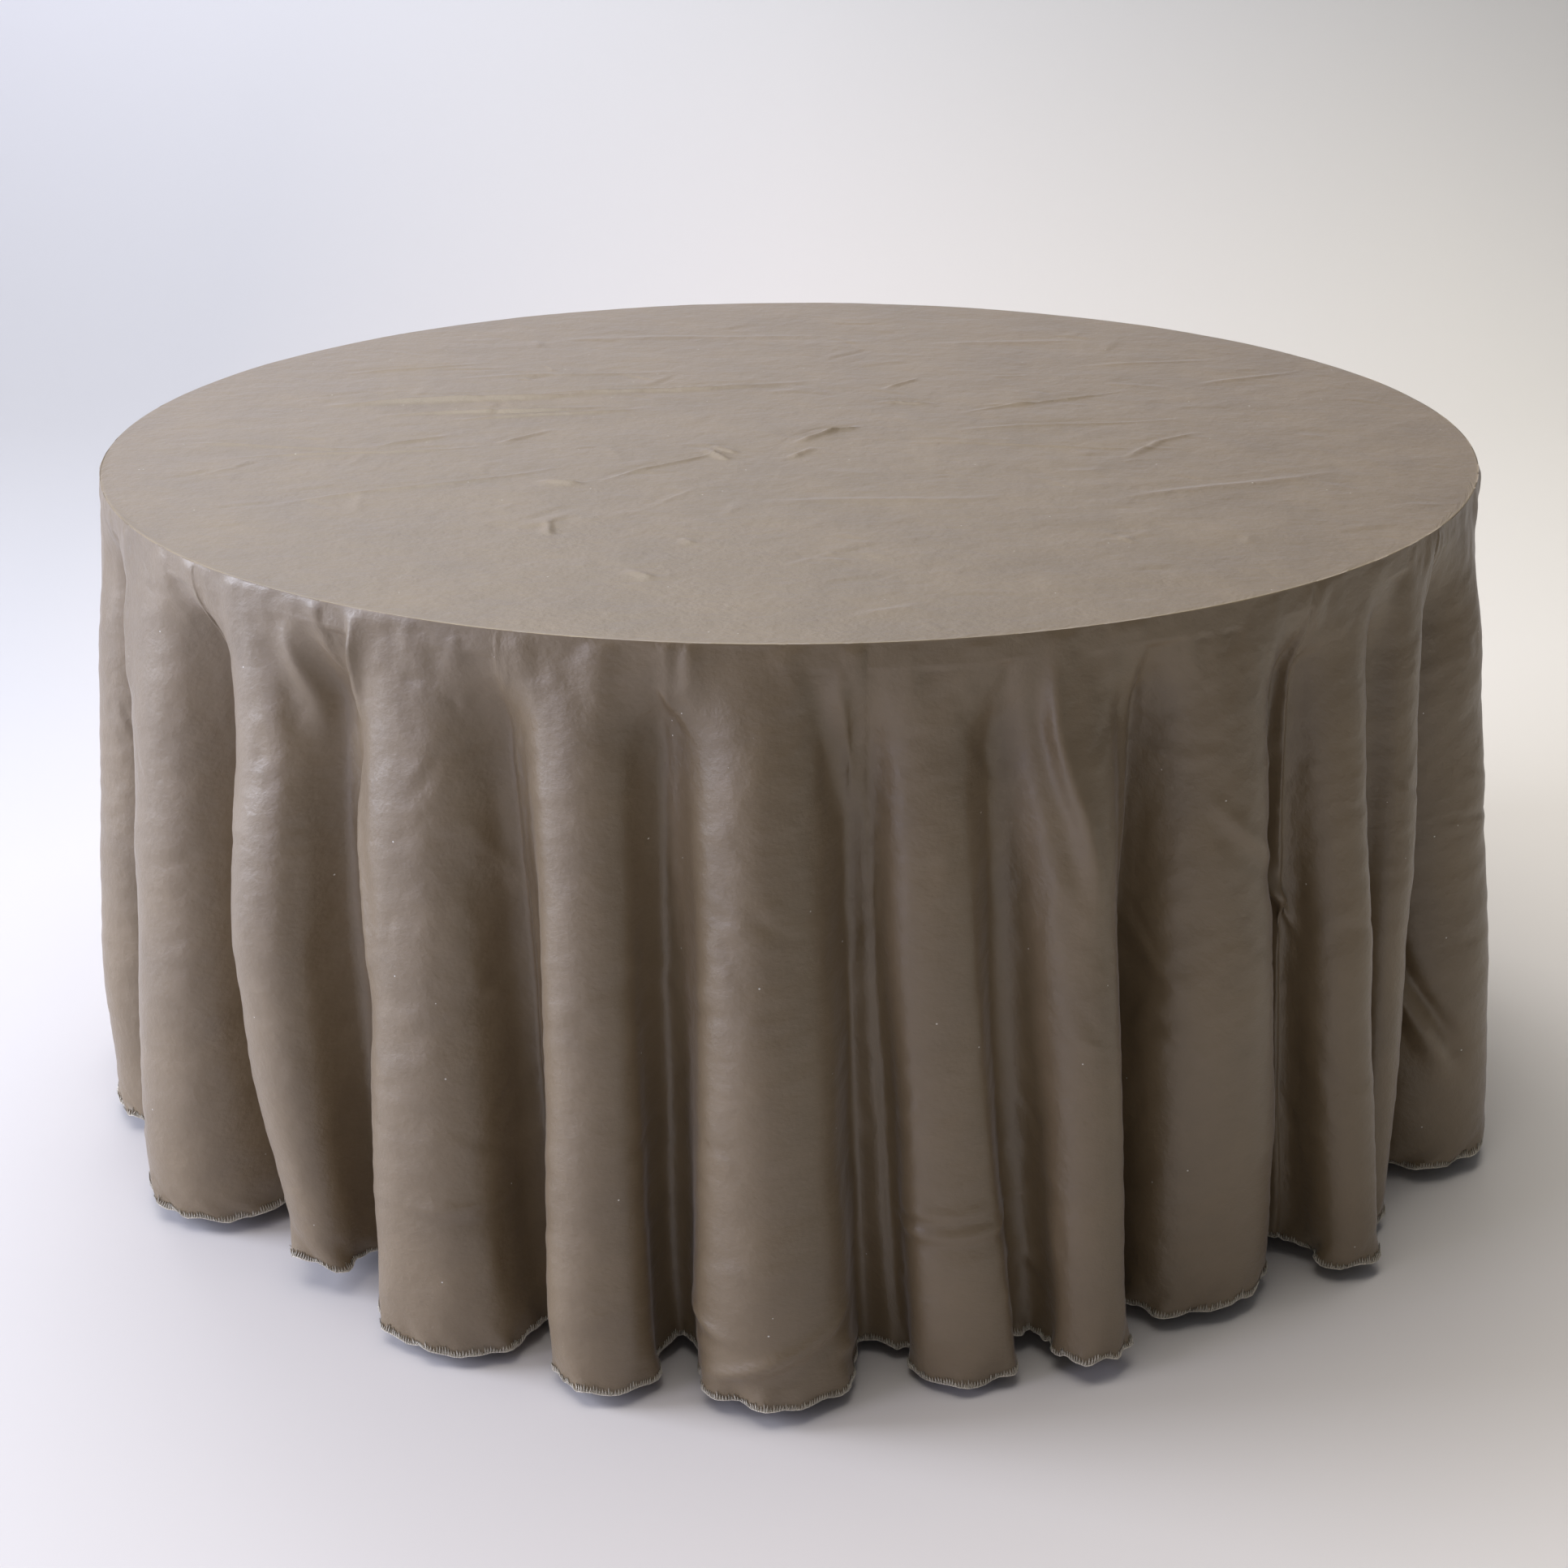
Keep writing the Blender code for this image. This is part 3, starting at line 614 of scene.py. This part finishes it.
def wrinkle(radii, turn, places, flat):
    # adds what the hanging leaves out: creases, soft ripples, puckers under the edge, the restless hem
    x, y = flat[:, :, 0], flat[:, :, 1]
    r = radii[:, None] + 0 * x
    along = turn[None, :] * cloth["edge"] + 0 * r
    hemward = np.clip((r - (cloth["radius"] - relief["hemReach"])) / relief["hemReach"], 0, 1) ** 2
    height = topRelief(x, y, r) + skirtRelief(along, r, hemward)
    places = places + normalsOf(places) * height[:, :, None]
    outsideRim(places, r)
    places[:, :, 2] += hemward * rippled(along * r / cloth["edge"], 0 * r, "hemUp")
    places[:, :, 2] = np.maximum(places[:, :, 2], relief["hemFloor"])
    return places


def gridFaces(rows, n):
    j = np.arange(n)
    k = (j + 1) % n
    a = 1 + np.arange(rows - 1)[:, None] * n
    quads = np.stack([a + j, a + n + j, a + n + k, a + k], 2).reshape(-1, 4)
    return np.stack([0 * j, 1 + j, 1 + k], 1), quads


def addCloth():
    radii, flatAll, hungAll, faces, pinned = clothMesh()
    settled = settle(flatAll, hungAll, faces, pinned)
    hungAll = hungAll + softened(settled - hungAll, len(radii))
    say("cloth settled")
    radii, turn, places, flat = refined(radii, hungAll)
    places = wrinkle(radii, turn, places, flat)
    n = len(turn)
    verts = np.concatenate([[[0, 0, places[0, :, 2].mean()]], places.reshape(-1, 3)])
    flatVerts = np.concatenate([[[0, 0, 0]], flat.reshape(-1, 3)])
    obj = newMesh("satinTablecloth", verts, gridFaces(len(radii), n))
    place = obj.data.attributes.new("flatPlace", "FLOAT_VECTOR", "POINT")
    place.data.foreach_set("vector", flatVerts.astype(np.float32).ravel())
    obj.data.materials.append(satin())
    say("cloth refined")
    stitches = addHem(places)
    for piece in [obj] + stitches:
        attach(piece, "cloth")
    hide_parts("tablecloth")
    for piece in stitches:
        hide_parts("hem_thread")


hem = {
    "band": 0.0072,  # how far the overlocking reaches up the cloth
    "uneven": 0.16,  # share by which the stitches differ in reach
    "proud": 0.0010,
    "thread": 0.00055,
    "pitch": 0.0031,  # between two stitches
    "bead": 0.0008,
    "wobble": 0.0003,
    "below": 0.0006,  # how far the stitches hang below the raw edge
    "beadBelow": 0.0004,
    # each stitch goes up the outer face, down it again, round the edge and up the inner face
    "steps": [0.0, 1.0, 0.05, 0.8],
    "faces": [0.55, 1.0, 0.55, -1.0],
}


def tubeAlong(points, radius, sides):
    # verts and faces of a thin thread along a closed run of points
    ahead = np.roll(points, -1, 0) - np.roll(points, 1, 0)
    ahead /= np.maximum(np.linalg.norm(ahead, axis=1, keepdims=True), 1e-12)
    side = np.cross(ahead, [0, 0, 1.0])
    weak = np.linalg.norm(side, axis=1) < 0.2
    side[weak] = np.cross(ahead[weak], [1.0, 0.3, 0])
    side /= np.linalg.norm(side, axis=1, keepdims=True)
    over = np.cross(side, ahead)
    rings = []
    for i in range(sides):
        a = 2 * math.pi * i / sides
        rings.append(points + radius * (math.cos(a) * side + math.sin(a) * over))
    verts = np.stack(rings, 1).reshape(-1, 3)
    faces = []
    for i in range(len(points)):
        a, b = i * sides, ((i + 1) % len(points)) * sides
        for k in range(sides):
            m = (k + 1) % sides
            faces.append((a + k, a + m, b + m, b + k))
    return verts, faces


def addHem(places):
    # the overlocked edge: stitches over the outer and inner face, and the looped bead that closes them
    edgeLine, outward = places[-1], normalsOf(places[-4:])[-1]
    up = places[-2] - places[-1]
    up /= np.linalg.norm(up, axis=1, keepdims=True)
    loop = np.concatenate([edgeLine, edgeLine[:1]])
    run = np.concatenate([[0], np.cumsum(np.linalg.norm(np.diff(loop, axis=0), axis=1))])
    count = int(run[-1] / hem["pitch"])
    knots = len(hem["steps"])
    at = np.arange(count * knots) / (count * knots) * run[-1]

    def along(values):
        ring = np.concatenate([values, values[:1]])
        return np.stack([np.interp(at, run, ring[:, i]) for i in range(3)], 1)

    base, out, rise = along(edgeLine), along(outward), along(up)
    out /= np.linalg.norm(out, axis=1, keepdims=True)
    rng = np.random.default_rng(12)
    reach = np.repeat(hem["band"] * (1 + hem["uneven"] * rng.standard_normal(count)), knots)
    step = np.tile(hem["steps"], count)[:, None] * reach[:, None]
    face = np.tile(hem["faces"], count)[:, None] * hem["proud"]
    points = base + rise * step + out * face - rise * hem["below"]
    verts, faces = tubeAlong(points, hem["thread"], 4)
    threads = newMesh("hemStitches", verts, faces)
    wobble = hem["wobble"] * np.sin(at / run[-1] * count * 2 * math.pi)[:, None]
    verts, faces = tubeAlong((base - rise * (hem["beadBelow"] + wobble))[::2], hem["bead"], 6)
    bead = newMesh("hemBead", verts, faces)
    for piece in (threads, bead):
        piece.data.materials.append(overlockThread())
    say("hem")
    return [threads, bead]


satinLook = {
    "dark": (0.166, 0.118, 0.066),
    "light": (0.204, 0.147, 0.084),
    "clouds": 9,  # how many to the metre, as with the other scales here
    "rimHighlight": (0.42, 0.33, 0.20),  # painted highlight: a lighter, warmer line along the edge where the cloth turns down
    "rimHighlightWidth": 0.0028,
    "rimHighlightShare": 0.55,
    "lint": (0.72, 0.70, 0.66),
    "lintCells": 44,
    "lintSize": 0.034,
    "lintless": 0.62,  # share of the cells without any
    "roughness": (0.37, 0.53),
    "sheen": (0.86, 0.83, 0.93, 1),
    # the fine grain of the long floats, then the slightly uneven surface of a cloth that has been washed
    "grain": [
        ((300, 820, 300), 0.30, 0.0006),
        ((120, 120, 120), 0.40, 0.0012),
        ((34, 34, 34), 0.45, 0.0035),
    ],
}


def satin():
    m = Nodes("taupeSatin")
    place = m.add("Attribute", attribute_name="flatPlace")

    def texture(kind, scale, **values):
        node = m.add(kind, Scale=1.0, **values)
        stretch = m.add("Mapping")
        stretch.inputs["Scale"].default_value = scale
        m.link(place.outputs["Vector"], stretch.inputs["Vector"])
        m.link(stretch.outputs["Vector"], node.inputs["Vector"])
        return node

    def mixed(factor, first, second):
        node = m.add("Mix", data_type="RGBA")
        m.link(factor, node.inputs["Factor"])
        m.link(first, node.inputs[6])
        node.inputs[7].default_value = (*second, 1)
        return node.outputs[2]

    def sums(operation, first, second):
        node = m.add("Math", operation=operation)
        for socket, value in zip(node.inputs, (first, second)):
            if isinstance(value, (int, float)):
                socket.default_value = value
            else:
                m.link(value, socket)
        return node.outputs[0]

    cloudy = texture("TexNoise", [satinLook["clouds"]] * 3, Detail=6.0, Roughness=0.62)
    tones = [(0.32, satinLook["dark"]), (0.68, satinLook["light"])]
    colour = ramp(m, cloudy.outputs["Fac"], tones).outputs["Color"]
    length = m.add("VectorMath", operation="LENGTH")
    m.link(place.outputs["Vector"], length.inputs[0])
    # Painted highlight: a lighter, warmer line along the edge of the top, strongest at the front and gone at
    # the back
    fromEdge = sums("ABSOLUTE", sums("SUBTRACT", length.outputs["Value"], cloth["edge"] + 0.0005), 0)
    closeness = sums("SUBTRACT", 1.0, sums("DIVIDE", fromEdge, satinLook["rimHighlightWidth"]))
    rimHighlight = sums("MULTIPLY", sums("SMOOTH_MIN", closeness, 1.0), satinLook["rimHighlightShare"])
    rimHighlight = sums("MAXIMUM", rimHighlight, 0.0)
    split = m.add("SeparateXYZ")
    m.link(place.outputs["Vector"], split.inputs[0])
    frontward = m.add("MapRange", From_Min=0.0, From_Max=-0.5)
    m.link(split.outputs["Y"], frontward.inputs["Value"])
    rimHighlight = sums("MULTIPLY", rimHighlight, frontward.outputs["Result"])
    colour = mixed(rimHighlight, colour, satinLook["rimHighlight"])
    cells = texture("TexVoronoi", [satinLook["lintCells"]] * 3, Randomness=1.0)
    close = sums("LESS_THAN", cells.outputs["Distance"], satinLook["lintSize"])
    apart = m.add("SeparateColor")
    m.link(cells.outputs["Color"], apart.inputs[0])
    chosen = sums("GREATER_THAN", apart.outputs[0], satinLook["lintless"])
    colour = mixed(sums("MULTIPLY", close, chosen), colour, satinLook["lint"])
    m.link(colour, m.shader.inputs["Base Color"])
    normal = None
    for scale, strength, distance in satinLook["grain"]:
        grain = texture("TexNoise", scale, Detail=3.0, Roughness=0.6)
        bump = m.add("Bump", Strength=strength, Distance=distance)
        m.link(grain.outputs["Fac"], bump.inputs["Height"])
        if normal is not None:
            m.link(normal, bump.inputs["Normal"])
        normal = bump.outputs["Normal"]
    m.link(normal, m.shader.inputs["Normal"])
    rough = m.add("MapRange", To_Min=satinLook["roughness"][0], To_Max=satinLook["roughness"][1])
    m.link(cloudy.outputs["Fac"], rough.inputs["Value"])
    m.link(rough.outputs["Result"], m.shader.inputs["Roughness"])
    m.set(Specular_IOR_Level=0.85, Sheen_Weight=0.22, Sheen_Roughness=0.32, Sheen_Tint=satinLook["sheen"])
    return m.mat


threadTones = ((0.60, 0.55, 0.46), (0.88, 0.83, 0.73))


def overlockThread():
    m = Nodes("creamOverlock")
    spun = m.add("TexNoise", Scale=900.0, Detail=3.0)
    where = m.add("TexCoord")
    m.link(where.outputs["Object"], spun.inputs["Vector"])
    colour = ramp(m, spun.outputs["Fac"], [(0.3, threadTones[0]), (0.7, threadTones[1])])
    m.link(colour.outputs["Color"], m.shader.inputs["Base Color"])
    m.set(Roughness=0.8, Specular_IOR_Level=0.2)
    return m.mat


tableFinish = {
    "plywood": ((0.46, 0.29, 0.15), (0.62, 0.43, 0.25)),
    "glueLine": (0.30, 0.18, 0.09),
    "layers": 58,  # bands to the metre through the board's thickness
    "band": ((0.58, 0.58, 0.59), (0.42, 0.42, 0.43)),
    "paint": (0.028, 0.029, 0.032),
    "zinc": ((0.52, 0.52, 0.49), (0.40, 0.38, 0.33)),
    "rubber": (0.014, 0.014, 0.015),
    "dust": (0.16, 0.155, 0.145),
}


def objectTexture(m, kind, scale, **values):
    where = m.add("TexCoord")
    stretch = m.add("Mapping")
    stretch.inputs["Scale"].default_value = scale
    m.link(where.outputs["Object"], stretch.inputs["Vector"])
    node = m.add(kind, Scale=1.0, **values)
    m.link(stretch.outputs["Vector"], node.inputs["Vector"])
    return node


def bumped(m, source, strength, distance):
    bump = m.add("Bump", Strength=strength, Distance=distance)
    m.link(source, bump.inputs["Height"])
    m.link(bump.outputs["Normal"], m.shader.inputs["Normal"])


def plywood():
    # long grain across the underside, and the glued layers at the rim
    m = Nodes("birchPlywood")
    grain = objectTexture(m, "TexNoise", (2.5, 70, 70), Detail=8.0, Roughness=0.65, Distortion=0.6)
    dark, pale = tableFinish["plywood"]
    face = ramp(m, grain.outputs["Fac"], [(0.35, dark), (0.66, pale)])
    size = (1, 1, tableFinish["layers"])
    layers = objectTexture(m, "TexWave", size, wave_type="BANDS", bands_direction="Z", Distortion=0.3)
    glue = ramp(m, layers.outputs["Fac"], [(0.35, tableFinish["glueLine"]), (0.6, (1, 1, 1))])
    both = m.add("Mix", data_type="RGBA", blend_type="MULTIPLY")
    both.inputs["Factor"].default_value = 0.35
    m.link(face.outputs["Color"], both.inputs[6])
    m.link(glue.outputs["Color"], both.inputs[7])
    m.link(both.outputs[2], m.shader.inputs["Base Color"])
    bumped(m, grain.outputs["Fac"], 0.25, 0.0004)
    m.set(Roughness=0.48)
    return m.mat


def wornFinish(name, base, over, metal, roughness, scale, edge=(0.52, 0.72)):
    # a finish with a soft uneven second colour, as dust or wear
    m = Nodes(name)
    patches = objectTexture(m, "TexNoise", (scale, scale, scale), Detail=7.0, Roughness=0.7)
    colour = ramp(m, patches.outputs["Fac"], [(edge[0], base), (edge[1], over)])
    m.link(colour.outputs["Color"], m.shader.inputs["Base Color"])
    fine = objectTexture(m, "TexNoise", (900, 900, 900), Detail=2.0)
    bumped(m, fine.outputs["Fac"], 0.15, 0.0002)
    spread = m.add("MapRange", To_Min=roughness - 0.06, To_Max=roughness + 0.14)
    m.link(patches.outputs["Fac"], spread.inputs["Value"])
    m.link(spread.outputs["Result"], m.shader.inputs["Roughness"])
    m.set(Metallic=metal)
    return m.mat


def finishTable():
    t = tableFinish
    board = plywood()
    band = wornFinish("edgeAluminium", *t["band"], 0.9, 0.34, 30)
    paint = wornFinish("framePaint", t["paint"], t["dust"], 0.0, 0.40, 14, (0.58, 0.86))
    zinc = wornFinish("zincPlate", *t["zinc"], 0.95, 0.36, 60)
    rubber = wornFinish("footPlastic", t["rubber"], t["dust"], 0.0, 0.62, 40, (0.55, 0.9))
    chosen = [
        (board, ["table_top"]),
        (band, ["table_edge"]),
        (paint, ["pivot_tube", "leg_tube", "stretcher", "brace_lug"]),
        (rubber, ["foot_cap"]),
        (zinc, ["lug_rivet", "knee_rivet", "centre_rivet", "brace_upper", "brace_lower"]),
        (zinc, ["centre_bracket", "pivot_bracket"]),
    ]
    for name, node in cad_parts.items():
        for mat, starts in chosen:
            if name.startswith(tuple(starts)):
                node.data.materials.clear()
                node.data.materials.append(mat)


addCamera()
addStage()
addLights()
say("camera, floor and light")
addCloth()
say("cloth")
finishTable()
say("table")
